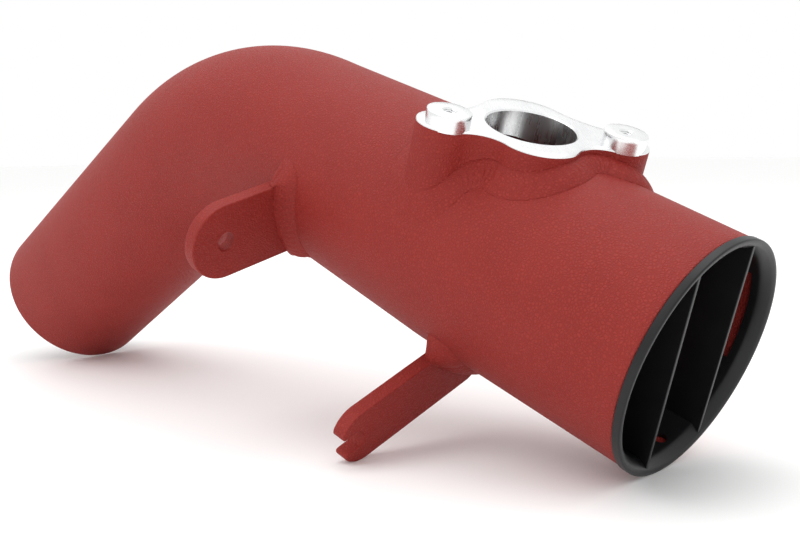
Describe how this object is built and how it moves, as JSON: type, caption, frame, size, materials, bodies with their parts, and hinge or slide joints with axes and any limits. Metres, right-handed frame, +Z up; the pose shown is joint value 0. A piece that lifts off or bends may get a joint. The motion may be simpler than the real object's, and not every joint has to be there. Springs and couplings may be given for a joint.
{
  "type": "intake pipe",
  "caption": "Bent, tapered intake pipe with a welded sensor flange, two welded mounting tabs and a moulded flow straightener pressed into its mouth.",
  "frame": {"origin": "on the floor under the middle of the overall box, with the pipe standing on the mouth lip, the leg end and the tip of the lower bracket", "axes": "+Z up, +X level from the leg end towards the mouth, +Y to the side away from the brackets"},
  "size_m": [0.3656, 0.1074, 0.1382],
  "materials": {
    "red_coat": "wrinkle powder coat, matt",
    "flange_metal": "machined face, sides coated with the tube",
    "black_moulding": "satin black moulding"
  },
  "bodies": {
    "root": {"intake_tube_run": "red_coat", "intake_tube_bend": "red_coat", "intake_tube_leg": "red_coat", "sensor_flange": "flange_metal", "sensor_flange_weld": "red_coat", "upper_bracket": "red_coat", "upper_bracket_weld": "red_coat", "lower_bracket": "red_coat", "lower_bracket_weld": "red_coat", "straightener_ring": "black_moulding", "straightener_vane_near": "black_moulding", "straightener_vane_far": "black_moulding"}
  },
  "joints": []
}
